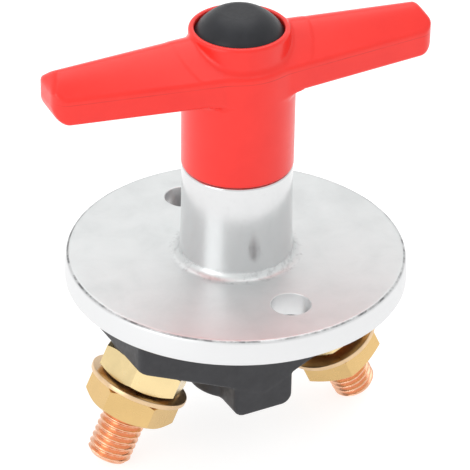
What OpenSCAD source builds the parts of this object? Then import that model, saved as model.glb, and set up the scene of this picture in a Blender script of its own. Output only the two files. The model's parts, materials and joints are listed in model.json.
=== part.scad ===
// Heavy-duty rotary battery switch for a boat: a round metal panel flange with
// a tall collar, a two-armed turning handle above it, and a black contact base
// with two tilted M10 terminal studs below it.
// Origin: middle of the two fixing holes on the flange's underside.
// +Z along the shaft towards the handle, +X along the row of terminals.

/* [Flange] */
// Radius of the flange at its underside
flange_r = 37.5; // [36:0.5:40]
// Thickness of the flange
flange_h = 5.8; // [5.4:0.1:7]
// Radius of the two fixing holes
fix_r = 4.25; // [2.5:0.05:4.5]
// Distance between the two fixing holes, along Y
fix_pitch = 50; // [49:0.5:52]

/* [Collar] */
// Outer radius of the collar
collar_r = 12.05; // [11.8:0.05:12.1]
// Height of the collar's top above the flange's underside
collar_top = 27.9; // [27.5:0.1:28]
// Radius of the plunger bore inside the collar
bore_r = 9; // [8.8:0.1:9]

/* [Handle] */
// Turn of the handle and shaft about Z in the on position, degrees
rotor_turn = -4.44; // [-8:0.01:8]
// Half length of the handle, from the shaft to the tip of an arm
arm_l = 43.5; // [40:0.5:46]
// Half width of the arms at the shaft
arm_w = 11.3; // [10.8:0.1:11.6]
// Half width of the arms at the tips
tip_w = 5.75; // [5:0.05:6.5]
// Height of the underside of the arms
arm_z = 48.3; // [48:0.1:49]
// Outer radius of the sleeve below the arms
sleeve_r = 12.16; // [12:0.02:12.4]
// Outer radius of the boss on top of the handle
boss_r = 10.84; // [10.6:0.02:11.2]
// Height of the boss's rim
boss_top = 60.8; // [60:0.1:62]

/* [Base] */
// Half length of the contact base along X
base_x = 30.2; // [29.6:0.1:30.4]
// Half width of the contact base along Y
base_y = 14; // [13.6:0.1:14.2]
// Depth of the base's end walls below the flange's underside
base_side = 10; // [9.6:0.1:10.4]
// Half width of the barrier block between the terminals
barrier_x = 7.2; // [6.6:0.1:7.4]
// Depth of the barrier block's bottom
barrier_d = 28.5; // [28:0.1:29]

/* [Terminals] */
// Tilt of the terminal studs away from the shaft axis, degrees
tilt = 25; // [23:0.5:25.5]
// Radius of the terminal studs
stud_r = 5; // [5:0.1:5]
// Length of the studs below the base's slanted face
stud_l = 27; // [24:0.1:30]
// Width of the hexagon nuts across their flats
nut_af = 18; // [17:0.5:18]
// Height of the hexagon nuts
nut_h = 6.2; // [5.5:0.1:6.2]
// Radius of the terminal washers
washer_r = 11.2; // [10.5:0.1:11.3]

/* [Travel] */
// Lift of the plunger over a quarter turn of the handle
lift = 4; // [3.8:0.1:4]

/* [Hidden] */
$fn = 96;

tt = tan(tilt);
// Where a stud's axis leaves the slanted face
stud_x = 20.24;
stud_z = -base_side - tt*(base_x - stud_x);
// Thickness of the base's slanted floor, along the stud
floor_t = 3.5;
head_t = 2.5;
// Positions of nuts and washers along each stud, from the slanted face
wash_s = [7.6, 8.7];
// Height of the round seat under each lock nut
seat_h = 1;
wash_t = 1.2;
nut_s = [wash_s[0] + wash_t, wash_s[1] + wash_t];
free_s = [nut_s[0] + nut_h, nut_s[1] + nut_h];
// Plane of the closed contacts
contact_z = -8.3;
gap = 0.05;
bar_z = contact_z + gap + 1.25;
bar_t = 2;
// Plunger heights in the closed position
shoulder_z = 3;
plunger_floor = 8;
plunger_top = 21;
pin_z = 17;
pin_r = 1.5;
neck_r = 9.5;
neck_top = 44;
sleeve_z = collar_top + 0.25;
hub_z = neck_top + 0.4;
recess_z = 52;
screw_xy = [11, 10.5];

brass = [0.93, 0.80, 0.52];
copper = [0.93, 0.60, 0.42];
steel = [0.86, 0.87, 0.88];
red = [0.98, 0.25, 0.20];
black = [0.26, 0.26, 0.29];

// Puts its children on a stud: local +Z runs out along the stud, 0 at the slanted face
module on_stud(side) {
  translate([side*stud_x, 0, stud_z]) rotate([0, side*(180 - tilt), 0]) children();
}
module rotor() { rotate([0, 0, rotor_turn]) children(); }

// Round-cornered upright block, corners at radius r
module plan(x, y, r, h) {
  translate([-x + r, -y, 0]) cube([2*(x - r), 2*y, h]);
  translate([-x, -y + r, 0]) cube([2*x, 2*(y - r), h]);
  for (i = [-1, 1], j = [-1, 1]) translate([i*(x - r), j*(y - r), 0]) cylinder(r = r, h = h, $fn = 32);
}
module hex_nut(turn, h) {
  difference() {
    intersection() {
      rotate([0, 0, turn]) cylinder(r = nut_af/sqrt(3), h = h, $fn = 6);
      rotate_extrude() polygon([[0, 0], [8.8, 0], [10.6, 1.0], [10.6, h - 1.0], [8.8, h], [0, h]]);
    }
    translate([0, 0, -1]) cylinder(r = stud_r + 0.02, h = h + 2);
    translate([0, 0, -0.01]) cylinder(r1 = stud_r + 0.6, r2 = stud_r, h = 0.6);
    translate([0, 0, h - 0.59]) cylinder(r1 = stud_r, r2 = stud_r + 0.6, h = 0.6);
  }
}
// One square stretch of a helical slot through the plunger's tube wall
function slot_pts(a0, a1, steps, hh) = [for (i = [0:steps])
  let (a = a0 + (a1 - a0)*i/steps, z = pin_z - lift*a/90)
  each [[4.2*cos(a), 4.2*sin(a), z - hh], [10*cos(a), 10*sin(a), z - hh],
        [10*cos(a), 10*sin(a), z + hh], [4.2*cos(a), 4.2*sin(a), z + hh]]];
function slot_faces(steps) = concat([[3, 2, 1, 0]],
  [for (i = [0:steps - 1], j = [0:3]) [4*i + j, 4*i + (j + 1)%4, 4*(i + 1) + (j + 1)%4, 4*(i + 1) + j]],
  [[4*steps, 4*steps + 1, 4*steps + 2, 4*steps + 3]]);
module helical_slot(turn) {
  steps = 16;
  rotate([0, 0, turn]) polyhedron(slot_pts(-21, 111, steps, 1.85), slot_faces(steps), convexity = 6);
}

module flange_housing() color(steel) difference() {
  rotate_extrude($fn = 160) polygon([[0, 0], [flange_r - 0.3, 0], [flange_r, 0.3], [flange_r - 0.1, 2.6],
    [flange_r - 0.35, flange_h - 0.75], [flange_r - 0.62, flange_h - 0.25], [flange_r - 1.15, flange_h],
    [14.0, flange_h], [13.2, flange_h + 0.25], [12.65, flange_h + 0.8], [12.35, flange_h + 1.8], [collar_r, collar_top - 0.4],
    [collar_r - 0.4, collar_top], [neck_r, collar_top], [neck_r, neck_top - 0.5], [neck_r - 0.5, neck_top], [0, neck_top]]);
  for (s = [-1, 1]) translate([0, s*fix_pitch/2, -1]) cylinder(r = fix_r, h = flange_h + 2);
  translate([0, 0, -1]) cylinder(r = bore_r, h = 27.6);
  translate([0, 0, 20]) cylinder(r = 6.5, h = 30);
  translate([-(bore_r + 1.6), -1.6, -1]) cube([2*(bore_r + 1.6), 3.2, 15]);
  translate([0, 0, -1]) plan(base_x + 0.4, base_y + 0.4, 2, 2);
  for (i = [-1, 1], j = [-1, 1]) translate([i*screw_xy[0], j*screw_xy[1], 0]) cylinder(r = 1.52, h = 4.9, $fn = 32);
}
module shaft_bush() color([0.72, 0.55, 0.30]) difference() {
  translate([0, 0, 27]) cylinder(r = 6.48, h = 10);
  translate([0, 0, 26]) cylinder(r = 5.05, h = 12);
}
module base_gasket() color([0.12, 0.12, 0.13]) difference() {
  translate([0, 0, 0.4]) plan(base_x, base_y, 1.8, 0.6);
  difference() {
    translate([-base_x + 3, -base_y + 3, 0]) cube([2*base_x - 6, 2*base_y - 6, 2]);
    for (i = [-1, 1], j = [-1, 1]) translate([i*screw_xy[0], j*screw_xy[1], -1]) cylinder(r = 3.2, h = 4, $fn = 48);
  }
  for (i = [-1, 1], j = [-1, 1]) translate([i*screw_xy[0], j*screw_xy[1], -1]) cylinder(r = 1.7, h = 4, $fn = 32);
}
module contact_base() color(black) difference() {
  union() {
    difference() {
      union() {
        intersection() {
          rotate([90, 0, 0]) translate([0, 0, -base_y - 1]) linear_extrude(2*base_y + 2)
            polygon([[-base_x, 0.4], [-base_x, -base_side], [-barrier_x, -base_side - tt*(base_x - barrier_x)],
                     [barrier_x, -base_side - tt*(base_x - barrier_x)], [base_x, -base_side], [base_x, 0.4]]);
          translate([0, 0, -40]) plan(base_x, base_y, 1.8, 50);
        }
        // barrier block with its lower long edges rounded
        translate([-barrier_x, -base_y, -barrier_d + 2.5]) cube([2*barrier_x, 2*base_y, barrier_d - 13]);
        translate([-barrier_x + 2.5, -base_y, -barrier_d]) cube([2*barrier_x - 5, 2*base_y, barrier_d - 13]);
        for (i = [-1, 1]) translate([i*(barrier_x - 2.5), base_y, -barrier_d + 2.5]) rotate([90, 0, 0]) cylinder(r = 2.5, h = 2*base_y, $fn = 48);
        // round seats under the lock nuts
        for (side = [-1, 1]) on_stud(side) translate([0, 0, -1.5]) cylinder(r = 9.8, h = 1.5 + seat_h);
        translate([0, 0, -27]) cylinder(r = 10.5, h = 17);
      }
      // contact chamber, its floor parallel to the slanted faces
      rotate([90, 0, 0]) translate([0, 0, -base_y + 3]) linear_extrude(2*base_y - 6)
        polygon([[-27.2, 2], [-27.2, -base_side - tt*(base_x - 27.2) + floor_t/cos(tilt)],
                 [-barrier_x, -base_side - tt*(base_x - barrier_x) + floor_t/cos(tilt)],
                 [barrier_x, -base_side - tt*(base_x - barrier_x) + floor_t/cos(tilt)],
                 [27.2, -base_side - tt*(base_x - 27.2) + floor_t/cos(tilt)], [27.2, 2]]);
    }
    // screw pillars, which also guide the contact bar
    intersection() {
      for (i = [-1, 1], j = [-1, 1]) translate([i*screw_xy[0], j*screw_xy[1], -18]) cylinder(r = 3.2, h = 18.4, $fn = 48);
      rotate([90, 0, 0]) translate([0, 0, -base_y - 1]) linear_extrude(2*base_y + 2)
        polygon([[-base_x, 0.4], [-base_x, -base_side], [-barrier_x, -base_side - tt*(base_x - barrier_x)],
                 [barrier_x, -base_side - tt*(base_x - barrier_x)], [base_x, -base_side], [base_x, 0.4]]);
    }
  }
  translate([0, 0, -26]) cylinder(r = 3.08, h = 30);
  for (side = [-1, 1]) on_stud(side) translate([0, 0, -floor_t - 1]) cylinder(r = stud_r + 0.02, h = floor_t + 3);
  for (i = [-1, 1], j = [-1, 1]) translate([i*screw_xy[0], j*screw_xy[1], -30]) {
    cylinder(r = 1.7, h = 40, $fn = 32);
    cylinder(r = 2.9, h = 14.5, $fn = 48);
  }
}
module base_screws() color(steel) for (i = [-1, 1], j = [-1, 1]) translate([i*screw_xy[0], j*screw_xy[1], 0]) difference() {
  union() {
    translate([0, 0, -15.5]) cylinder(r = 1.5, h = 20.1, $fn = 32);
    translate([0, 0, -17.7]) cylinder(r = 2.75, h = 2.2, $fn = 48);
  }
  translate([0, 0, -18.7]) cylinder(r = 1.45, h = 2.2, $fn = 6);
}
module stud(side) {
  k = side < 0 ? 0 : 1;
  on_stud(side) difference() {
    union() {
      translate([0, 0, -floor_t]) cylinder(r = stud_r, h = floor_t + stud_l - 1);
      translate([0, 0, stud_l - 1]) cylinder(r1 = stud_r, r2 = stud_r - 0.8, h = 1);
      translate([0, 0, -floor_t - head_t]) cylinder(r = 7, h = head_t);
    }
    // undercut just inside the outer nut's face
    translate([0, 0, free_s[k] - 0.9]) difference() {
      cylinder(r = 6, h = 0.8);
      translate([0, 0, -1]) cylinder(r = stud_r - 0.6, h = 3);
    }
  }
}
module stud_left() color(copper) stud(-1);
module stud_right() color(copper) stud(1);
module stud_contacts() color([0.9, 0.9, 0.88]) for (side = [-1, 1]) difference() {
  translate([side*15, 0, -14]) cylinder(r = 3.2, h = 14 + contact_z, $fn = 48);
  on_stud(side) translate([-20, -20, -floor_t - head_t]) cube([40, 40, 40]);
}
module lock_nut_left() color(brass) on_stud(-1) translate([0, 0, seat_h]) hex_nut(15, nut_h);
module lock_nut_right() color(brass) on_stud(1) translate([0, 0, seat_h]) hex_nut(50, nut_h);
module washer() difference() {
  union() {
    translate([0, 0, 0.15]) cylinder(r = washer_r, h = wash_t - 0.3);
    cylinder(r1 = washer_r - 0.15, r2 = washer_r, h = 0.15);
    translate([0, 0, wash_t - 0.15]) cylinder(r1 = washer_r, r2 = washer_r - 0.15, h = 0.15);
  }
  translate([0, 0, -1]) cylinder(r = stud_r + 0.25, h = wash_t + 2);
}
module terminal_washer_left() color([0.85, 0.68, 0.50]) on_stud(-1) translate([0, 0, wash_s[0]]) washer();
module terminal_washer_right() color([0.85, 0.68, 0.50]) on_stud(1) translate([0, 0, wash_s[1]]) washer();
module terminal_nut_left() color(brass) on_stud(-1) translate([0, 0, nut_s[0]]) hex_nut(35, nut_h);
module terminal_nut_right() color(brass) on_stud(1) translate([0, 0, nut_s[1]]) hex_nut(41, nut_h);

// Outline layer of the two-armed handle, pulled in by d at the sides and e at the tips
module arm_layer(z, h, d, e) translate([0, 0, z]) {
  cylinder(r = arm_w - d, h = h, $fn = 64);
  for (i = [-1, 1], j = [-1, 1]) translate([i*(arm_l - 3 - e), j*max(tip_w - 3 - d, 0.2), 0])
    cylinder(r = max(3 - max(d - (tip_w - 3), 0), 0.4), h = h, $fn = 32);
}
module handle() color(red) rotor() difference() {
  union() {
    hull() {
      arm_layer(arm_z, 0.1, 0.8, 0.9);
      arm_layer(arm_z + 0.9, 5.0, 0, 0);
      arm_layer(arm_z + 6.5, 0.1, 0.35, 0.4);
      arm_layer(arm_z + 7.8, 0.1, 2.3, 2.6);
      arm_layer(arm_z + 9.1, 0.1, 4.5, 5.2);
      arm_layer(arm_z + 9.9, 0.1, 8.2, 8.5);
    }
    translate([0, 0, sleeve_z]) cylinder(r = sleeve_r, h = arm_z + 2 - sleeve_z);
    translate([0, 0, arm_z + 4]) cylinder(r = boss_r, h = boss_top - arm_z - 4.5);
    translate([0, 0, boss_top - 0.5]) cylinder(r1 = boss_r, r2 = boss_r - 0.5, h = 0.5);
  }
  translate([0, 0, recess_z]) cylinder(r = 9.6, h = 20);
  translate([0, 0, sleeve_z - 1]) cylinder(r = 9.8, h = hub_z - sleeve_z + 1);
  translate([-3.62, -3.62, hub_z - 1]) cube([7.24, 7.24, 20]);
}
module handle_cap() color([0.28, 0.28, 0.30]) rotor() rotate_extrude()
  polygon([[0, 59.2], [8, 59.2], [8, 57.2], [9.45, 57.2], [9.45, 60.1], [8.7, 61.0], [7.4, 62.2], [5.8, 63.4],
           [4.4, 64.1], [3, 64.4], [0, 64.5]]);
module handle_screw() color(steel) rotor() difference() {
  union() {
    translate([0, 0, 38.5]) cylinder(r = 2, h = 15, $fn = 48);
    translate([0, 0, recess_z + 1]) cylinder(r = 3.8, h = 3, $fn = 48);
  }
  translate([0, 0, recess_z + 2.2]) cylinder(r = 1.9, h = 3, $fn = 6);
}
module handle_washer() color(steel) rotor() translate([0, 0, recess_z]) difference() {
  cylinder(r = 7, h = 1);
  translate([0, 0, -1]) cylinder(r = 2.2, h = 3);
}
module shaft() color(steel) rotor() difference() {
  union() {
    translate([0, 0, 13]) cylinder(r = 5, h = hub_z - 13);
    translate([-3.6, -3.6, hub_z - 0.5]) cube([7.2, 7.2, recess_z - hub_z + 0.4]);
  }
  translate([0, 0, 38]) cylinder(r = 2.02, h = 20, $fn = 48);
  translate([-10, 0, pin_z]) rotate([0, 90, 0]) cylinder(r = pin_r + 0.02, h = 20, $fn = 48);
  for (g = [[25.35, 1.1, 4.3], [37.4, 2.3, 4.5], [40.8, 2.3, 4.5]]) translate([0, 0, g[0]]) difference() {
    cylinder(r = 6, h = g[1]);
    translate([0, 0, -1]) cylinder(r = g[2], h = g[1] + 2);
  }
}
module shaft_orings() color([0.1, 0.1, 0.11]) rotor() for (z = [38.55, 41.95])
  translate([0, 0, z]) rotate_extrude() translate([5.48, 0]) circle(r = 0.95, $fn = 32);
module cross_pin() color(steel) rotor() translate([-8.6, 0, pin_z]) rotate([0, 90, 0]) cylinder(r = pin_r, h = 17.2, $fn = 48);
module retaining_ring() color([0.35, 0.35, 0.37]) rotor() difference() {
  translate([0, 0, 25.4]) cylinder(r = 7.4, h = 1);
  translate([0, 0, 25]) cylinder(r = 4.32, h = 2);
  translate([0, -1.5, 25]) cube([10, 3, 2]);
}
module plunger() color([0.92, 0.90, 0.84]) difference() {
  union() {
    translate([0, 0, shoulder_z]) cylinder(r = bore_r - 0.08, h = plunger_top - shoulder_z);
    translate([-(bore_r + 1.4), -1.5, shoulder_z]) cube([2*(bore_r + 1.4), 3, 5]);
    translate([0, 0, -24]) cylinder(r = 3, h = 28);
  }
  translate([0, 0, plunger_floor]) cylinder(r = 5.1, h = 20);
  for (a = [0, 180]) helical_slot(rotor_turn + a);
  translate([0, 0, -9.2]) difference() {
    cylinder(r = 4, h = 1.1);
    translate([0, 0, -1]) cylinder(r = 2.4, h = 4);
  }
}
module stem_clip() color([0.35, 0.35, 0.37]) difference() {
  translate([0, 0, -9.15]) cylinder(r = 5.2, h = 1);
  translate([0, 0, -10]) cylinder(r = 2.42, h = 3);
  translate([0, -1.3, -10]) cube([8, 2.6, 3]);
}
// Centre line of the spring at turn t of n, with its end coils closed
coils = 5;
wire_r = 0.6;
function coil_z(t) = let (a = bar_z + bar_t + wire_r + 0.03, b = shoulder_z - wire_r - 0.03,
  u = min(max((t - 0.8)/(coils - 1.6), 0), 1)) a + (b - a)*(0.16*t/coils + 0.84*u);
module contact_spring() color([0.75, 0.76, 0.78]) {
  seg = 20; n = coils*seg; m = 8; R = 6.6;
  polyhedron([for (i = [0:n]) let (a = 360*i/seg, z = coil_z(i/seg)) for (j = [0:m - 1])
      let (b = 360*j/m, r = R + wire_r*cos(b)) [r*cos(a), r*sin(a), z + wire_r*sin(b)]],
    concat([[for (j = [m - 1:-1:0]) m - 1 - j]],
      [for (i = [0:n - 1], j = [0:m - 1]) [m*i + j, m*(i + 1) + j, m*(i + 1) + (j + 1)%m, m*i + (j + 1)%m]],
      [[for (j = [0:m - 1]) n*m + m - 1 - j]]), convexity = 10);
}
module contact_bridge() color(copper) difference() {
  union() {
    translate([-13, -7, bar_z]) cube([26, 14, bar_t]);
    for (i = [-1, 1]) translate([i*13, 0, bar_z]) cylinder(r = 7, h = bar_t);
  }
  translate([0, 0, bar_z - 1]) cylinder(r = 3.08, h = bar_t + 2);
  for (i = [-1, 1]) translate([i*15, 0, bar_z - 1]) cylinder(r = 1.5, h = bar_t + 2, $fn = 32);
}
module bridge_contacts() color([0.9, 0.9, 0.88]) for (i = [-1, 1]) translate([i*15, 0, 0]) {
  translate([0, 0, contact_z + gap]) cylinder(r = 3, h = 1.25, $fn = 48);
  translate([0, 0, contact_z + gap + 1]) cylinder(r = 1.5, h = 0.25 + bar_t, $fn = 32);
  translate([0, 0, bar_z + bar_t]) cylinder(r1 = 2.1, r2 = 1.5, h = 0.5, $fn = 32);
}

flange_housing();
shaft_bush();
base_gasket();
contact_base();
base_screws();
stud_left();
stud_right();
stud_contacts();
lock_nut_left();
lock_nut_right();
terminal_washer_left();
terminal_washer_right();
terminal_nut_left();
terminal_nut_right();
handle();
handle_cap();
handle_screw();
handle_washer();
shaft();
shaft_orings();
cross_pin();
retaining_ring();
plunger();
stem_clip();
contact_spring();
contact_bridge();
bridge_contacts();
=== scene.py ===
import json
import math
import bmesh
import bpy
import numpy as np
from mathutils import Matrix, Vector


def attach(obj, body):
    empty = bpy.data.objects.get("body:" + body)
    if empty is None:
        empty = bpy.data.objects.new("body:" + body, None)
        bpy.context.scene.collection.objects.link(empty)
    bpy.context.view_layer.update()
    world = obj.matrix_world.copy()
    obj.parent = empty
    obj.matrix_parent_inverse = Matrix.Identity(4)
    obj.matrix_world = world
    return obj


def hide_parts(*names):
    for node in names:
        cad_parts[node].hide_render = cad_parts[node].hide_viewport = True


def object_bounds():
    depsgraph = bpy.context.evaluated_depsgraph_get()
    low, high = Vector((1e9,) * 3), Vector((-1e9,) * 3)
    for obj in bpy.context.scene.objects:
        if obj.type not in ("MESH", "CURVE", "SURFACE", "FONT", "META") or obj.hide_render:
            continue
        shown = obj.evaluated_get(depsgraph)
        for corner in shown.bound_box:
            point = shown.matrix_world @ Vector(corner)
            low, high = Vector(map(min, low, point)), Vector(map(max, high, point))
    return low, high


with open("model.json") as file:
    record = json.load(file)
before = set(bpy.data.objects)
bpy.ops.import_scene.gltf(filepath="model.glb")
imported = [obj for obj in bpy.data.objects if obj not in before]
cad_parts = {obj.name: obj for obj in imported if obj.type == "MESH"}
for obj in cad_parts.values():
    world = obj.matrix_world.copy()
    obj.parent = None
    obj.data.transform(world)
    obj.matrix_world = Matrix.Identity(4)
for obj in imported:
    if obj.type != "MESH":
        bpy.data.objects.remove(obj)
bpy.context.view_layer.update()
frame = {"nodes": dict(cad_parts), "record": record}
MM = 0.001

# ------------------------------------------------------------------ camera
cam_data = bpy.data.cameras.new("camera")
cam_data.sensor_width = 36.0
cam_data.lens = 249.68
cam_data.clip_start = 0.05
cam_data.clip_end = 20.0
cam = bpy.data.objects.new("camera", cam_data)
bpy.context.scene.collection.objects.link(cam)
_r = np.array([0.87932, -0.47623, 0.0])
_f = np.array([0.40600, 0.74964, -0.52269])
_f = _f/np.linalg.norm(_f)
_r = _r/np.linalg.norm(_r)
_u = np.cross(_r, _f)
_roll = math.radians(0.906)
_x = _r*math.cos(_roll) + _u*math.sin(_roll)
_y = -_r*math.sin(_roll) + _u*math.cos(_roll)
_m = Matrix.Identity(4)
for i in range(3):
    _m[i][0], _m[i][1], _m[i][2] = _x[i], _y[i], -_f[i]
_m[0][3], _m[1][3], _m[2][3] = -0.28913, -0.53333, 0.38128
cam.matrix_world = _m
bpy.context.scene.camera = cam

# ------------------------------------------------------------------ geometry from the record
ROTOR = math.radians(-4.44)
TILT = math.radians(25.0)
STUD_X = 20.24
STUD_Z = -10.0 - math.tan(TILT)*(30.2 - STUD_X)
ARM_Z, BOSS_TOP = 48.3, 60.8


def rot_z(a):
    c, s = math.cos(a), math.sin(a)
    return np.array([[c, -s, 0], [s, c, 0], [0, 0, 1.0]])


def on_stud(side):
    """Local +Z runs out along the stud, as in the CAD: rotate about Y, then move."""
    a = side*(math.pi - TILT)
    c, s = math.cos(a), math.sin(a)
    return np.array([[c, 0, s], [0, 1, 0], [-s, 0, c]]), np.array([side*STUD_X, 0, STUD_Z])


def put(pts, rot=None, move=None):
    p = np.asarray(pts, float)
    if rot is not None:
        p = p @ np.asarray(rot).T
    if move is not None:
        p = p + np.asarray(move)
    return p*MM


def make(name, pts, faces, body, node=None, mat=None, angle=32.0, weighted=True):
    me = bpy.data.meshes.new(name)
    me.from_pydata([tuple(v) for v in pts], [], [tuple(f) for f in faces])
    me.validate()
    ob = bpy.data.objects.new(name, me)
    bpy.context.scene.collection.objects.link(ob)
    dress(ob, angle, weighted)
    if mat is not None:
        me.materials.clear()
        me.materials.append(mat)
    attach(ob, body)
    if node is not None:
        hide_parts(*([node] if isinstance(node, str) else node))
    return ob


def dress(ob, angle=32.0, weighted=True, recalc=True):
    me = ob.data
    bm = bmesh.new()
    bm.from_mesh(me)
    bmesh.ops.remove_doubles(bm, verts=bm.verts, dist=1e-7)
    if recalc:
        bmesh.ops.recalc_face_normals(bm, faces=bm.faces)
    for f in bm.faces:
        f.smooth = True
    lim = math.radians(angle)
    for e in bm.edges:
        e.smooth = not (len(e.link_faces) == 2 and e.calc_face_angle(0.0) > lim)
    bm.to_mesh(me)
    bm.free()
    if weighted:
        w = ob.modifiers.new("normals", "WEIGHTED_NORMAL")
        w.keep_sharp = True
        w.weight = 60
        w.mode = "FACE_AREA"


def arc(cx, cy, r, a0, a1, n):
    return [(cx + r*math.cos(math.radians(a0 + (a1 - a0)*i/n)), cy + r*math.sin(math.radians(a0 + (a1 - a0)*i/n))) for i in range(n + 1)]


def revolve(profile, seg=192, closed=True):
    """Points and faces of a profile of (r, z) turned about Z. A closed profile gives a torus-like ring; ends at r=0 are poles."""
    prof = [p for p in profile]
    n = len(prof)
    pts, faces, rows = [], [], []
    for r, z in prof:
        if r < 1e-6:
            rows.append([len(pts)]*seg)
            pts.append((0.0, 0.0, z))
        else:
            rows.append([len(pts) + i for i in range(seg)])
            for i in range(seg):
                a = 2*math.pi*i/seg
                pts.append((r*math.cos(a), r*math.sin(a), z))
    last = n if closed else n - 1
    for k in range(last):
        A, B = rows[k], rows[(k + 1) % n]
        pole_a, pole_b = prof[k][0] < 1e-6, prof[(k + 1) % n][0] < 1e-6
        if pole_a and pole_b:
            continue
        for i in range(seg):
            j = (i + 1) % seg
            if pole_a:
                faces.append((A[0], B[j], B[i]))
            elif pole_b:
                faces.append((A[i], A[j], B[0]))
            else:
                faces.append((A[i], A[j], B[j], B[i]))
    return np.array(pts), faces


# ------------------------------------------------------------------ distance-field meshing
def rmax(a, b, r):
    u, v = np.maximum(r + a, 0), np.maximum(r + b, 0)
    return np.minimum(-r, np.maximum(a, b)) + np.sqrt(u*u + v*v)


def rmin(a, b, r):
    u, v = np.maximum(r - a, 0), np.maximum(r - b, 0)
    return np.maximum(r, np.minimum(a, b)) - np.sqrt(u*u + v*v)


def smax(a, b, k):
    h = np.clip(0.5 + 0.5*(a - b)/k, 0, 1)
    return b*(1 - h) + a*h + k*h*(1 - h)


def smin(a, b, k):
    return -smax(-a, -b, k)


def step01(x, a, b):
    t = np.clip((x - a)/(b - a), 0, 1)
    return t*t*(3 - 2*t)


def surface_nets(f, lo, hi, h):
    """Quads on the zero surface of f(x, y, z), in mm. Each vertex is then drawn onto the surface."""
    lo, hi = np.array(lo, float), np.array(hi, float)
    n = np.ceil((hi - lo)/h).astype(int) + 1
    xs, ys, zs = [lo[i] + h*np.arange(n[i]) for i in range(3)]
    V = np.empty(tuple(n), np.float32)
    for k in range(0, n[0], 24):
        X, Y, Z = np.meshgrid(xs[k:k + 24], ys, zs, indexing="ij")
        V[k:k + 24] = f(X, Y, Z)
    S = V < 0
    m = n - 1
    count = np.zeros(tuple(m), np.int32)
    acc = np.zeros(tuple(m) + (3,), np.float32)
    offs = [(0, 0, 0), (1, 0, 0), (0, 1, 0), (1, 1, 0), (0, 0, 1), (1, 0, 1), (0, 1, 1), (1, 1, 1)]
    for ia, A in enumerate(offs):
        for ib, B in enumerate(offs):
            if ib <= ia or sum(abs(A[t] - B[t]) for t in range(3)) != 1:
                continue
            sa = S[A[0]:A[0] + m[0], A[1]:A[1] + m[1], A[2]:A[2] + m[2]]
            sb = S[B[0]:B[0] + m[0], B[1]:B[1] + m[1], B[2]:B[2] + m[2]]
            cross = np.argwhere(sa != sb)
            if not len(cross):
                continue
            i, j, k = cross.T
            va = V[i + A[0], j + A[1], k + A[2]]
            vb = V[i + B[0], j + B[1], k + B[2]]
            t = va/(va - vb)
            p = np.array(A, np.float32)[None] + t[:, None]*(np.array(B, np.float32) - np.array(A, np.float32))[None]
            np.add.at(acc, (i, j, k), p)
            np.add.at(count, (i, j, k), 1)
    has = count > 0
    ids = -np.ones(tuple(m), np.int64)
    cells = np.argwhere(has)
    ids[has] = np.arange(len(cells))
    P = (cells + acc[has]/count[has][:, None])*h + lo
    faces = []
    for ax in range(3):
        b, c = (ax + 1) % 3, (ax + 2) % 3
        sl0, sl1 = [slice(None)]*3, [slice(None)]*3
        sl0[ax], sl1[ax] = slice(0, n[ax] - 1), slice(1, n[ax])
        s0, s1 = S[tuple(sl0)], S[tuple(sl1)]
        e = np.argwhere(s0 != s1)
        ok = (e[:, b] > 0) & (e[:, b] < m[b]) & (e[:, c] > 0) & (e[:, c] < m[c]) & (e[:, ax] < m[ax])
        e = e[ok]
        inside = s0[tuple(e.T)]
        q = []
        for db, dc in ((-1, -1), (0, -1), (0, 0), (-1, 0)):
            w = e.copy()
            w[:, b] += db
            w[:, c] += dc
            q.append(ids[tuple(w.T)])
        q = np.stack(q, 1)
        q[~inside] = q[~inside][:, ::-1]
        faces.append(q)
    F = np.concatenate(faces)
    F = F[(F >= 0).all(1)]
    eps = 0.02
    for _ in range(5):
        d = f(P[:, 0], P[:, 1], P[:, 2])
        g = np.stack([f(P[:, 0] + eps, P[:, 1], P[:, 2]) - f(P[:, 0] - eps, P[:, 1], P[:, 2]),
                      f(P[:, 0], P[:, 1] + eps, P[:, 2]) - f(P[:, 0], P[:, 1] - eps, P[:, 2]),
                      f(P[:, 0], P[:, 1], P[:, 2] + eps) - f(P[:, 0], P[:, 1], P[:, 2] - eps)], 1)/(2*eps)
        g2 = np.maximum((g*g).sum(1), 0.05)
        step = -(d/g2)[:, None]*g
        ln = np.linalg.norm(step, axis=1)
        step *= np.minimum(1, 0.5*h/np.maximum(ln, 1e-9))[:, None]
        P = P + step
    return P, F


# ------------------------------------------------------------------ materials
def mat(name, **kw):
    m = bpy.data.materials.new(name)
    m.use_nodes = True
    nt = m.node_tree
    nt.nodes.clear()
    out = nt.nodes.new("ShaderNodeOutputMaterial")
    b = nt.nodes.new("ShaderNodeBsdfPrincipled")
    nt.links.new(b.outputs[0], out.inputs[0])
    for k, v in kw.items():
        b.inputs[k].default_value = v
    return m, nt, b


def coords(nt, scale=1.0, stretch=(1, 1, 1), rot=(0, 0, 0)):
    tc = nt.nodes.new("ShaderNodeTexCoord")
    mp = nt.nodes.new("ShaderNodeMapping")
    mp.inputs["Scale"].default_value = tuple(scale*s for s in stretch)
    mp.inputs["Rotation"].default_value = rot
    nt.links.new(tc.outputs["Object"], mp.inputs[0])
    return mp.outputs[0]


def noise(nt, vec, scale, detail=4.0, rough=0.55, dist=0.0):
    n = nt.nodes.new("ShaderNodeTexNoise")
    n.inputs["Scale"].default_value = scale
    n.inputs["Detail"].default_value = detail
    n.inputs["Roughness"].default_value = rough
    n.inputs["Distortion"].default_value = dist
    nt.links.new(vec, n.inputs["Vector"])
    return n.outputs["Fac"]


def ramp(nt, fac, stops):
    r = nt.nodes.new("ShaderNodeValToRGB")
    el = r.color_ramp.elements
    while len(el) > 1:
        el.remove(el[-1])
    el[0].position, el[0].color = stops[0][0], (*stops[0][1], 1.0)
    for p, c in stops[1:]:
        e = el.new(p)
        e.color = (*c, 1.0)
    nt.links.new(fac, r.inputs[0])
    return r.outputs[0]


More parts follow.
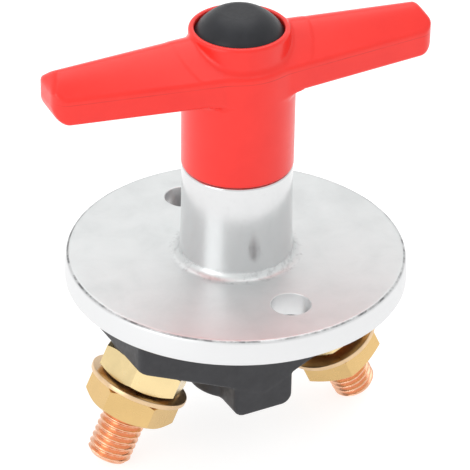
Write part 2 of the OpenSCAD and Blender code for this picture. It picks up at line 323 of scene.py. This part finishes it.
def fit(nt, fac, a, b, c, d):
    r = nt.nodes.new("ShaderNodeMapRange")
    r.inputs["From Min"].default_value, r.inputs["From Max"].default_value = a, b
    r.inputs["To Min"].default_value, r.inputs["To Max"].default_value = c, d
    nt.links.new(fac, r.inputs["Value"])
    return r.outputs[0]


def math2(nt, op, a, b):
    n = nt.nodes.new("ShaderNodeMath")
    n.operation = op
    for s, v in zip(n.inputs, (a, b)):
        if isinstance(v, (int, float)):
            s.default_value = v
        else:
            nt.links.new(v, s)
    return n.outputs[0]


def bump(nt, b, height, strength=0.1, distance=0.0001, normal=None):
    n = nt.nodes.new("ShaderNodeBump")
    n.inputs["Strength"].default_value = strength
    n.inputs["Distance"].default_value = distance
    nt.links.new(height, n.inputs["Height"])
    if normal is not None:
        nt.links.new(normal, n.inputs["Normal"])
    nt.links.new(n.outputs[0], b.inputs["Normal"])
    return n.outputs[0]


def mix_rgb(nt, fac, a, b):
    n = nt.nodes.new("ShaderNodeMix")
    n.data_type = "RGBA"
    for s, v in ((n.inputs[0], fac), (n.inputs[6], a), (n.inputs[7], b)):
        if isinstance(v, (int, float)):
            s.default_value = v
        elif isinstance(v, tuple):
            s.default_value = (*v, 1.0)
        else:
            nt.links.new(v, s)
    return n.outputs[2]


def red_plastic():
    m, nt, b = mat("red_plastic", **{"Roughness": 0.3, "IOR": 1.5, "Specular IOR Level": 0.46, "Coat Weight": 0.06, "Coat Roughness": 0.2})
    v = coords(nt)
    n1 = noise(nt, v, 140, 3)
    c = ramp(nt, n1, [(0.3, (0.83, 0.018, 0.011)), (0.7, (0.87, 0.023, 0.014))])
    tc = nt.nodes.new("ShaderNodeTexCoord")
    sep = nt.nodes.new("ShaderNodeSeparateXYZ")
    nt.links.new(tc.outputs["Object"], sep.inputs[0])
    # painted shade: a darker red line along the parting-line groove, standing in for the shade in the groove
    painted_dark_line = math2(nt, "MULTIPLY", fit(nt, sep.outputs["Z"], 0.05305, 0.05315, 0.0, 1.0), fit(nt, sep.outputs["Z"], 0.05325, 0.05335, 1.0, 0.0))
    painted_dark_line = math2(nt, "MULTIPLY", painted_dark_line, fit(nt, noise(nt, v, 90, 3), 0.35, 0.65, 0.25, 0.8))
    c = mix_rgb(nt, painted_dark_line, c, (0.60, 0.012, 0.008))
    nt.links.new(c, b.inputs["Base Color"])
    n2 = noise(nt, v, 900, 4, 0.6)
    nt.links.new(fit(nt, n2, 0.3, 0.7, 0.28, 0.36), b.inputs["Roughness"])
    n3 = noise(nt, v, 2600, 2, 0.5)
    n4 = noise(nt, v, 220, 2, 0.5)
    bump(nt, b, math2(nt, "ADD", math2(nt, "MULTIPLY", n3, 0.25), n4), 0.035, 0.0001)
    return m


def cap_plastic():
    m, nt, b = mat("cap_plastic", **{"IOR": 1.5, "Specular IOR Level": 0.34})
    v = coords(nt)
    c = ramp(nt, noise(nt, v, 300, 3), [(0.3, (0.011, 0.012, 0.015)), (0.7, (0.017, 0.018, 0.022))])
    nt.links.new(c, b.inputs["Base Color"])
    nt.links.new(fit(nt, noise(nt, v, 1200, 4), 0.3, 0.7, 0.34, 0.46), b.inputs["Roughness"])
    bump(nt, b, noise(nt, v, 3200, 3), 0.12, 0.0001)
    return m


def base_plastic():
    m, nt, b = mat("base_plastic", **{"IOR": 1.5})
    v = coords(nt)
    c = ramp(nt, noise(nt, v, 220, 4), [(0.3, (0.016, 0.016, 0.019)), (0.7, (0.023, 0.023, 0.027))])
    nt.links.new(c, b.inputs["Base Color"])
    nt.links.new(fit(nt, noise(nt, v, 800, 4), 0.3, 0.7, 0.42, 0.55), b.inputs["Roughness"])
    bump(nt, b, math2(nt, "ADD", noise(nt, v, 2400, 3), math2(nt, "MULTIPLY", noise(nt, v, 260, 2), 0.8)), 0.16, 0.0001)
    return m


def plated_metal():
    m, nt, b = mat("plated_metal", **{"Metallic": 0.82})
    v = coords(nt)
    tc = nt.nodes.new("ShaderNodeTexCoord")
    sep = nt.nodes.new("ShaderNodeSeparateXYZ")
    nt.links.new(tc.outputs["Object"], sep.inputs[0])
    blotch = noise(nt, v, 130, 6, 0.62, 0.4)
    fine = noise(nt, v, 900, 5, 0.6)
    scratch = noise(nt, coords(nt, 1.0, (1, 14, 14), (0, 0, 0.5)), 120, 3, 0.6)
    c = ramp(nt, blotch, [(0.32, (0.665, 0.69, 0.69)), (0.5, (0.70, 0.725, 0.725)), (0.72, (0.73, 0.755, 0.755))])
    # painted light: the wall and the polished collar get even colours of their own, the collar lighter, for the
    # brighter light they catch; the turned top face keeps its blotchy tone
    up = fit(nt, sep.outputs["Z"], 0.0054, 0.0057, 1.0, 0.0)
    collar = fit(nt, sep.outputs["Z"], 0.0064, 0.0078, 0.0, 1.0)
    painted_face_tone = math2(nt, "MAXIMUM", up, collar)
    c = mix_rgb(nt, painted_face_tone, c, mix_rgb(nt, collar, (0.73, 0.735, 0.74), (0.70, 0.705, 0.71)))
    rad = math2(nt, "SQRT", math2(nt, "ADD", math2(nt, "MULTIPLY", sep.outputs["X"], sep.outputs["X"]), math2(nt, "MULTIPLY", sep.outputs["Y"], sep.outputs["Y"])), 0.0)
    # painted reflection: a dark ring on the rounded edge between top face and side wall, standing in for the dark it
    # reflects
    painted_dark_line = math2(nt, "MULTIPLY", fit(nt, rad, 0.03655, 0.03672, 0.0, 1.0), fit(nt, rad, 0.03695, 0.03712, 1.0, 0.0))
    painted_dark_line = math2(nt, "MULTIPLY", painted_dark_line, fit(nt, noise(nt, v, 210, 5, 0.7), 0.42, 0.60, 0.15, 0.85))
    c = mix_rgb(nt, painted_dark_line, c, (0.10, 0.10, 0.105))
    # painted shade: mottled darkening in the fillet where the collar rises from the top face
    foot = math2(nt, "MULTIPLY", fit(nt, sep.outputs["Z"], 0.0066, 0.0082, 1.0, 0.0), fit(nt, rad, 0.0144, 0.0150, 1.0, 0.0))
    collar_foot_shade = math2(nt, "MULTIPLY", foot, fit(nt, noise(nt, v, 520, 5, 0.7), 0.50, 0.66, 0.0, 0.35))
    c = mix_rgb(nt, collar_foot_shade, c, (0.22, 0.22, 0.23))
    # painted reflection: random darker grey patches on the collar, standing in for the grey bands it reflects
    collar_painted_reflection = math2(nt, "MULTIPLY", collar, fit(nt, noise(nt, v, 750, 6, 0.75), 0.54, 0.72, 0.0, 0.22))
    c = mix_rgb(nt, collar_painted_reflection, c, (0.50, 0.50, 0.51))
    nt.links.new(c, b.inputs["Base Color"])
    r0 = fit(nt, blotch, 0.3, 0.7, 0.38, 0.44)
    r1 = math2(nt, "ADD", r0, fit(nt, fine, 0.35, 0.65, -0.02, 0.03))
    r2 = math2(nt, "SUBTRACT", r1, math2(nt, "MULTIPLY", collar, 0.24))
    nt.links.new(r2, b.inputs["Roughness"])
    h = math2(nt, "ADD", math2(nt, "MULTIPLY", blotch, 0.5), math2(nt, "MULTIPLY", fine, 0.2))
    h = math2(nt, "ADD", h, math2(nt, "MULTIPLY", scratch, 0.1))
    bump(nt, b, h, 0.06, 0.0002)
    return m


def simple_metal(name, base, lo=0.2, hi=0.34, scale=500.0, var=0.08, bmp=0.08, stretch=(1, 1, 1)):
    m, nt, b = mat(name, **{"Metallic": 1.0})
    v = coords(nt, 1.0, stretch)
    n1 = noise(nt, v, scale*0.35, 5, 0.6)
    n2 = noise(nt, v, scale*1.6, 4, 0.6)
    dark = tuple(max(0.0, x*(1 - var)) for x in base)
    light = tuple(min(1.0, x*(1 + var)) for x in base)
    nt.links.new(ramp(nt, n1, [(0.3, dark), (0.7, light)]), b.inputs["Base Color"])
    nt.links.new(fit(nt, n1, 0.3, 0.7, lo, hi), b.inputs["Roughness"])
    bump(nt, b, math2(nt, "ADD", n1, math2(nt, "MULTIPLY", n2, 0.4)), bmp, 0.0001)
    return m


def simple_solid(name, base, rough=(0.4, 0.55), scale=600.0, var=0.12, bmp=0.12):
    m, nt, b = mat(name, **{"IOR": 1.5})
    v = coords(nt)
    n1 = noise(nt, v, scale*0.3, 4, 0.6)
    n2 = noise(nt, v, scale*2.0, 3, 0.6)
    nt.links.new(ramp(nt, n1, [(0.3, tuple(x*(1 - var) for x in base)), (0.7, tuple(min(1.0, x*(1 + var)) for x in base))]), b.inputs["Base Color"])
    nt.links.new(fit(nt, n2, 0.3, 0.7, *rough), b.inputs["Roughness"])
    bump(nt, b, math2(nt, "ADD", n1, math2(nt, "MULTIPLY", n2, 0.5)), bmp, 0.0001)
    return m


M = {
    "red_plastic": red_plastic(),
    "cap_plastic": cap_plastic(),
    "base_plastic": base_plastic(),
    "plated_metal": plated_metal(),
    "brass": simple_metal("brass", (0.85, 0.67, 0.36), 0.2, 0.32, 420, 0.06, 0.07),
    # painted shade: brass_outer is a darker copy of the same brass, used on the terminal nuts to make them come out
    # darker
    "brass_outer": simple_metal("brass_outer", (0.70, 0.475, 0.205), 0.22, 0.34, 420, 0.06, 0.07),
    "washer_brass": simple_metal("washer_brass", (0.74, 0.53, 0.32), 0.26, 0.38, 900, 0.12, 0.12),
    "copper": simple_metal("copper", (0.88, 0.50, 0.33), 0.2, 0.32, 500, 0.08, 0.08),
    "silver": simple_metal("silver", (0.90, 0.89, 0.86), 0.22, 0.36, 700, 0.05, 0.08),
    "steel": simple_metal("steel", (0.60, 0.61, 0.63), 0.24, 0.4, 600, 0.1, 0.08),
    "spring_steel": simple_metal("spring_steel", (0.50, 0.51, 0.54), 0.25, 0.4, 900, 0.1, 0.06),
    "dark_steel": simple_metal("dark_steel", (0.14, 0.14, 0.15), 0.35, 0.5, 800, 0.15, 0.08),
    "bronze": simple_metal("bronze", (0.50, 0.32, 0.14), 0.4, 0.55, 1400, 0.2, 0.2),
    "nylon": simple_solid("nylon", (0.74, 0.70, 0.58), (0.42, 0.55), 400, 0.05, 0.1),
    "rubber": simple_solid("rubber", (0.018, 0.018, 0.02), (0.6, 0.75), 900, 0.2, 0.2),
}
for sub in frame["record"]["subparts"]:
    ob = frame["nodes"][sub["node"]]
    for s in ob.material_slots:
        s.material = M[sub["material_slot"]]
    if not ob.material_slots:
        ob.data.materials.append(M[sub["material_slot"]])

# ------------------------------------------------------------------ handle
HOLE = 3.62


def handle_sdf(x, y, z):
    ax, ay = np.abs(x), np.abs(y)
    w = 11.42 - 0.1325*ax
    circ = np.sqrt(np.maximum(12.18**2 - ax*ax, 0.0))
    w = smax(w, np.where(ax < 12.18, circ, -5.0), 0.9)
    side = (ay - w)*0.991
    tip = ax - 43.5
    plan = rmax(side, tip, 3.0)
    lift = 3.4 - np.sqrt(np.maximum(3.4**2 - np.clip(ax - 40.1, 0, 3.35)**2, 0.0))
    bottom = (ARM_Z + lift) - z
    d = rmax(plan, bottom, 0.8)
    # soft ridge along the arm, hipped at the tips
    a = 2.2
    s = np.sqrt(ay*ay + a*a) - a
    sw = np.sqrt(w*w + a*a) - a
    crown = 6.2 - 0.052*ax
    rad = np.hypot(x, y)
    ridge = ARM_Z + 6.0 + crown*(1 - s/sw)
    hip = ARM_Z + 7.2 + (43.5 - ax)*1.6
    top = smin(ridge, hip, 1.6)
    top = top + 0.09*step01(15.6 - rad, -0.16, 0.16)
    d = rmax(d, (z - top)*0.84, 0.45)
    # parting line round the side face
    groove = np.maximum(0.16 - np.abs(z - (ARM_Z + 4.9)), 0)/0.16
    d = d + 0.07*groove*step01(side, -0.5, -0.1)*step01(ax, 11.0, 15.0)
    # sleeve, flared where it meets the underside of the arms
    cyl = rad - (12.16 + 0.04*np.clip((z - 28)/20, 0, 1))
    sleeve = rmax(rmax(cyl, 28.15 - z, 0.45), z - (ARM_Z + 3), 0.5)
    fr = 2.6
    t = np.clip(z - (ARM_Z - fr), 0, fr*0.999)
    flare = np.maximum(rad - (12.16 + fr - np.sqrt(fr*fr - t*t)), z - (ARM_Z + 2))
    flare = rmax(np.maximum(flare, (ARM_Z - fr) - z), side, 0.8)
    d = np.minimum(np.minimum(d, sleeve), flare)
    # boss
    boss = rmax(rad - 10.84, z - BOSS_TOP, 0.7)
    boss = np.maximum(boss, (ARM_Z + 2) - z)
    d = rmin(d, boss, 0.7)
    d = rmax(d, -np.maximum(rad - 9.6, 52.0 - z), 0.35)
    d = np.maximum(d, -np.maximum(rad - 9.8, z - 44.4))
    sq = np.maximum(np.maximum(ax, ay) - HOLE, 44.0 - z)
    d = np.maximum(d, -sq)
    return d


cell = 0.34
P, F = surface_nets(handle_sdf, (-45, -13.5, 27), (45, 13.5, 62), cell)
make("handle_body", put(P, rot_z(ROTOR)), F, "rotor", "handle", M["red_plastic"], angle=50, weighted=False)

# domed cap, pressed into the boss
prof = [(0, 58.9), (7.9, 58.9), (8.05, 58.75), (8.05, 57.3), (8.2, 57.2), (9.2, 57.2), (9.4, 57.4)]
prof += [(9.42, 59.6)] + arc(8.85, 59.75, 0.57, 0, 62, 8)
for i in range(1, 41):
    r = 9.05*(1 - i/40)
    prof.append((r, 60.22 + 4.1*(1 - (1 - min((9.35 - r)/5.8, 1.0))**1.75)))
pts, faces = revolve(prof, 160, closed=False)
make("handle_cap_dome", put(pts, rot_z(ROTOR)), faces, "rotor", "handle_cap", M["cap_plastic"])


# ------------------------------------------------------------------ flange and collar
def boolean(ob, cutters, op="DIFFERENCE"):
    for c in cutters:
        md = ob.modifiers.new("cut", "BOOLEAN")
        md.operation = op
        md.solver = "EXACT"
        md.object = c
    dg = bpy.context.evaluated_depsgraph_get()
    me = bpy.data.meshes.new_from_object(ob.evaluated_get(dg))
    ob.modifiers.clear()
    old = ob.data
    ob.data = me
    bpy.data.meshes.remove(old)
    for c in cutters:
        d = c.data
        bpy.data.objects.remove(c)
        bpy.data.meshes.remove(d)


def temp(pts, faces):
    me = bpy.data.meshes.new("cutter")
    me.from_pydata([tuple(v) for v in pts], [], [tuple(f) for f in faces])
    bm = bmesh.new()
    bm.from_mesh(me)
    bmesh.ops.recalc_face_normals(bm, faces=bm.faces)
    bm.to_mesh(me)
    bm.free()
    ob = bpy.data.objects.new("cutter", me)
    bpy.context.scene.collection.objects.link(ob)
    return ob


def block(x0, y0, z0, x1, y1, z1):
    p = [(x, y, z) for z in (z0, z1) for y in (y0, y1) for x in (x0, x1)]
    f = [(0, 2, 3, 1), (4, 5, 7, 6), (0, 1, 5, 4), (2, 6, 7, 3), (0, 4, 6, 2), (1, 3, 7, 5)]
    return p, f


FH = 5.8
prof = [(9.0, 0.0), (37.1, 0.0)] + arc(37.1, 0.4, 0.4, -90, 0, 5)
prof += [(37.49, 1.5), (37.42, 3.2), (37.30, 4.6)] + arc(36.55, 4.95, 0.72, 8, 50, 5)
prof += [(36.80, 5.66), (36.5, 5.75), (36.1, FH)]
prof += [(20.0, FH), (14.6, FH)] + [(12.42 + 1.9*(1 - math.cos(math.radians(a))), FH + 1.9 - 1.9*math.sin(math.radians(a))) for a in range(80, -1, -10)]
prof += [(12.2, 12.0), (12.1, 18.0), (12.05, 27.3)] + arc(11.55, 27.4, 0.5, 0, 90, 6)
prof += [(9.5, 27.9), (9.5, 43.6), (9.1, 44.0), (6.5, 44.0), (6.5, 26.6), (9.0, 26.6)]
pts, faces = revolve(prof, 256)
me = bpy.data.meshes.new("flange_plate")
me.from_pydata([tuple(v) for v in pts*MM], [], [tuple(f) for f in faces])
flange = bpy.data.objects.new("flange_plate", me)
bpy.context.scene.collection.objects.link(flange)
bm = bmesh.new(); bm.from_mesh(me); bmesh.ops.recalc_face_normals(bm, faces=bm.faces); bm.to_mesh(me); bm.free()
cut = []
for s in (-1, 1):
    hp = [(0, -1), (5.0, -1), (4.75, 0.0), (4.25, 0.45)] + [(4.25, FH - 0.25)] + [(4.25 + 0.25*(1 - math.cos(math.radians(a))), FH - 0.25 + 0.25*math.sin(math.radians(a))) for a in (20, 40, 60, 80, 90)] + [(4.5, 8), (0, 8)]
    p2, f2 = revolve(hp, 64, closed=False)
    cut.append(temp(put(p2, None, (0, 25*s, 0)), f2))
for i in (-1, 1):
    for j in (-1, 1):
        p2, f2 = revolve([(0, -1), (1.52, -1), (1.52, 4.9), (0, 4.9)], 24, closed=False)
        cut.append(temp(put(p2, None, (11*i, 10.5*j, 0)), f2))
p2, f2 = block(-30.6, -14.4, -1, 30.6, 14.4, 1.0)
cut.append(temp(put(p2), f2))
p2, f2 = block(-10.6, -1.6, -0.5, 10.6, 1.6, 14)
cut.append(temp(put(p2), f2))
boolean(flange, cut)
dress(flange, 30.0)
flange.data.materials.clear()
flange.data.materials.append(M["plated_metal"])
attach(flange, "housing")
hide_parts("flange_housing")


# ------------------------------------------------------------------ contact base
TT = math.tan(TILT)
CT = math.cos(TILT)


def base_sdf(x, y, z):
    ax, ay = np.abs(x), np.abs(y)
    plan = rmax(ax - 30.2, ay - 14.0, 1.8)
    vee = ((-10.0 - TT*(30.2 - ax)) - z)*CT
    low = rmax(vee, -(z + 40), 0.1)
    shell = rmax(rmax(plan, low, 0.55), z - 0.4, 0.3)
    bar = rmax(ax - 7.2, -28.5 - z, 2.5)
    bar = rmax(rmax(bar, ay - 14.0, 0.6), z + 12, 0.3)
    d = rmin(shell, bar, 0.4)
    rad = np.hypot(x, y)
    boss = np.maximum(rmax(rad - 10.5, -27.0 - z, 0.8), z + 12)
    d = rmin(d, boss, 0.5)
    # round seats under the lock nuts
    dx, dz = ax - STUD_X, z - STUD_Z
    lx = dx*CT + dz*math.sin(TILT)
    ls = dx*math.sin(TILT) - dz*CT
    seat = np.maximum(rmax(np.hypot(lx, y) - 9.8, ls - 1.0, 0.3), -1.5 - ls)
    d = rmin(d, seat, 0.3)
    # contact chamber
    fl = (-10.0 - TT*(30.2 - np.maximum(ax, 7.2))) + 3.5/CT
    ch = np.maximum(np.maximum(ax - 27.2, ay - 11.0), (fl - z)*CT)
    sx, sy = ax - 11.0, ay - 10.5
    sr = np.hypot(sx, sy)
    ch = np.maximum(ch, -(sr - 3.2))
    d = np.maximum(d, -ch)
    d = np.maximum(d, -np.maximum(rad - 3.08, -26.0 - z))
    d = np.maximum(d, -(sr - 1.7))
    d = rmax(d, -np.maximum(sr - 2.9, z + 15.5), 0.25)
    # stud holes
    hole = np.hypot(lx, y) - 5.02
    hole = np.where(np.abs(ls) < 9, hole, 9.0)
    d = np.maximum(d, -hole)
    return d


P, F = surface_nets(base_sdf, (-31.3, -15.1, -29.6), (31.3, 15.1, 1.5), 0.38)
make("contact_base_moulding", put(P), F, "housing", "contact_base", M["base_plastic"], angle=48, weighted=False)


# ------------------------------------------------------------------ studs, nuts, washers
def stud_mesh(side, free):
    """Threaded stud with its square-edged head inside the base. Local +Z runs outward; the thread is a true helix."""
    seg, pitch, L = 72, 1.5, 27.0
    rows = [(-6.0, 0.0, 0), (-6.0, 6.6, 0), (-5.85, 6.85, 0), (-5.6, 7.0, 0), (-3.9, 7.0, 0), (-3.5, 6.9, 0), (-3.5, 4.95, 0), (0.3, 4.95, 0)]
    zs = np.arange(0.6, L - 0.001, pitch/14)
    pts, idx = [], []
    for s, r, _ in rows:
        idx.append(len(pts))
        for i in range(seg):
            a = 2*math.pi*i/seg
            pts.append((r*math.cos(a), r*math.sin(a), s))
    for s in list(zs) + [L]:
        idx.append(len(pts))
        for i in range(seg):
            a = 2*math.pi*i/seg
            ph = (s/pitch - side*0.0 - a/(2*math.pi)) % 1.0
            tri = 1 - abs(2*ph - 1)
            prof_r = min(max((tri - 0.10)/0.78, 0.0), 1.0)
            prof_r = prof_r*prof_r*(3 - 2*prof_r)*0.35 + prof_r*0.65
            r = 4.10 + 0.88*prof_r
            fade = min(max((s - 0.5)/1.5, 0), 1)
            r = 4.95*(1 - fade) + r*fade
            edge = L - s
            cone = 4.05 + 0.95*min(edge/0.95, 1.0)
            r = min(r, cone)
            pts.append((r*math.cos(a), r*math.sin(a), s))
    faces = []
    for k in range(len(idx) - 1):
        A, B = idx[k], idx[k + 1]
        for i in range(seg):
            j = (i + 1) % seg
            faces.append((A + i, A + j, B + j, B + i))
    # end face with a shallow turned centre
    A = idx[-1]
    for r, s in ((3.4, L), (2.8, L - 0.03), (0.8, L - 0.05)):
        B = len(pts)
        for i in range(seg):
            a = 2*math.pi*i/seg
            pts.append((r*math.cos(a), r*math.sin(a), s))
        for i in range(seg):
            j = (i + 1) % seg
            faces.append((A + i, A + j, B + j, B + i))
        A = B
    c = len(pts)
    pts.append((0, 0, L - 0.35))
    for i in range(seg):
        faces.append((A + i, A + (i + 1) % seg, c))
    rot, move = on_stud(side)
    return put(pts, rot, move), faces


def nut_mesh(turn, h):
    AF2 = 9.0
    cols = []
    per = [-30, -29.2, -28, -26, -23, -19, -14, -9, -4.5, 0, 4.5, 9, 14, 19, 23, 26, 28, 29.2]
    for k in range(6):
        for a in per:
            t = math.radians(a)
            r = AF2/math.cos(t)
            r = min(r, 10.37)
            cols.append((math.radians(60*k + 30 + a + turn), r))
    n = len(cols)
    pts, rows = [], []

    def row(f):
        rows.append(len(pts))
        for a, r in cols:
            rr, z = f(a, r)
            pts.append((rr*math.cos(a), rr*math.sin(a), z))
    bore = 5.02
    row(lambda a, r: (bore, 0.5))
    row(lambda a, r: (5.55, 0.0))
    row(lambda a, r: (7.5, 0.0))
    row(lambda a, r: (8.75, 0.0))
    row(lambda a, r: (8.86, 0.03))
    row(lambda a, r: (r - 0.04, (r - 8.8)/1.8 - 0.015))
    row(lambda a, r: (r, (r - 8.8)/1.8 + 0.05))
    row(lambda a, r: (r, h*0.5))
    row(lambda a, r: (r, h - (r - 8.8)/1.8 - 0.05))
    row(lambda a, r: (r - 0.04, h - (r - 8.8)/1.8 + 0.015))
    row(lambda a, r: (8.86, h - 0.03))
    row(lambda a, r: (8.75, h))
    row(lambda a, r: (7.5, h))
    row(lambda a, r: (5.55, h))
    row(lambda a, r: (bore, h - 0.5))
    faces = []
    m = len(rows)
    for k in range(m):
        A, B = rows[k], rows[(k + 1) % m]
        for i in range(n):
            j = (i + 1) % n
            faces.append((A + i, A + j, B + j, B + i))
    return np.array(pts), faces


def washer_mesh(t=1.2, ro=11.2, ri=5.25):
    p = [(ri, 0.15), (ri + 0.15, 0.0), (ro - 0.25, 0.0)] + arc(ro - 0.25, 0.25, 0.25, -90, 0, 4)
    p += arc(ro - 0.25, t - 0.25, 0.25, 0, 90, 4) + [(ri + 0.15, t), (ri, t - 0.15)]
    return revolve(p, 128)


for side, tag in ((-1, "left"), (1, "right")):
    rot, move = on_stud(side)
    ws = 7.6 if side < 0 else 8.7
    pts, faces = stud_mesh(side, ws + 1.2 + 6.2)
    make(f"terminal_stud_{tag}", pts, faces, "housing", f"stud_{tag}", M["copper"], angle=40, weighted=False)
    p2, f2 = nut_mesh(15 if side < 0 else 50, 6.2)
    p2 = p2 + np.array([0, 0, 1.0])
    make(f"lock_nut_brass_{tag}", put(p2, rot, move), f2, "housing", f"lock_nut_{tag}", M["brass"], angle=28)
    p2, f2 = washer_mesh()
    p2 = p2 + np.array([0, 0, ws])
    make(f"washer_brass_{tag}", put(p2, rot, move), f2, "housing", f"terminal_washer_{tag}", M["washer_brass"])
    p2, f2 = nut_mesh(35 if side < 0 else 41, 6.2)
    p2 = p2 + np.array([0, 0, ws + 1.2])
    # painted shade: the terminal nuts take brass_outer, the darker copy of the brass
    make(f"terminal_nut_brass_{tag}", put(p2, rot, move), f2, "housing", f"terminal_nut_{tag}", M["brass_outer"], angle=28)

# ------------------------------------------------------------------ stage
lo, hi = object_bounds()
FLOOR_Z = lo[2]
size = 3.0
bm = bmesh.new()
v = [bm.verts.new((x, y, FLOOR_Z)) for x, y in ((-size, -size), (size, -size), (size, size), (-size, size))]
bm.faces.new(v)
me = bpy.data.meshes.new("floor")
bm.to_mesh(me)
bm.free()
floor = bpy.data.objects.new("floor", me)
bpy.context.scene.collection.objects.link(floor)
fm, nt, b = mat("floor_pale", **{"Roughness": 0.9, "Specular IOR Level": 0.0, "Emission Color": (1.0, 1.0, 1.0, 1.0), "Emission Strength": 0.74})
nt.links.new(ramp(nt, noise(nt, coords(nt), 3, 2), [(0.3, (0.40, 0.40, 0.40)), (0.7, (0.42, 0.42, 0.42))]), b.inputs["Base Color"])
me.materials.append(fm)

world = bpy.data.worlds.new("studio")
bpy.context.scene.world = world
world.use_nodes = True
bg = world.node_tree.nodes["Background"]
bg.inputs["Color"].default_value = (1.0, 1.0, 1.0, 1.0)
bg.inputs["Strength"].default_value = 0.90


def area(name, loc, target, sx, sy, power, color=(1, 1, 1)):
    l = bpy.data.lights.new(name, "AREA")
    l.shape = "RECTANGLE"
    l.size, l.size_y = sx, sy
    l.energy = power
    l.color = color
    o = bpy.data.objects.new(name, l)
    bpy.context.scene.collection.objects.link(o)
    d = Vector(target) - Vector(loc)
    o.matrix_world = Matrix.Translation(loc) @ d.to_track_quat("-Z", "Y").to_matrix().to_4x4()
    return o


area("top_softbox", (0.1, 0.25, 0.9), (0, 0, 0.02), 0.9, 0.9, 3.0)
area("left_softbox", (-0.9, -0.25, 0.35), (0, 0, 0.02), 0.6, 0.8, 2.5)

bpy.context.scene.view_settings.view_transform = "Standard"
bpy.context.scene.view_settings.look = "None"
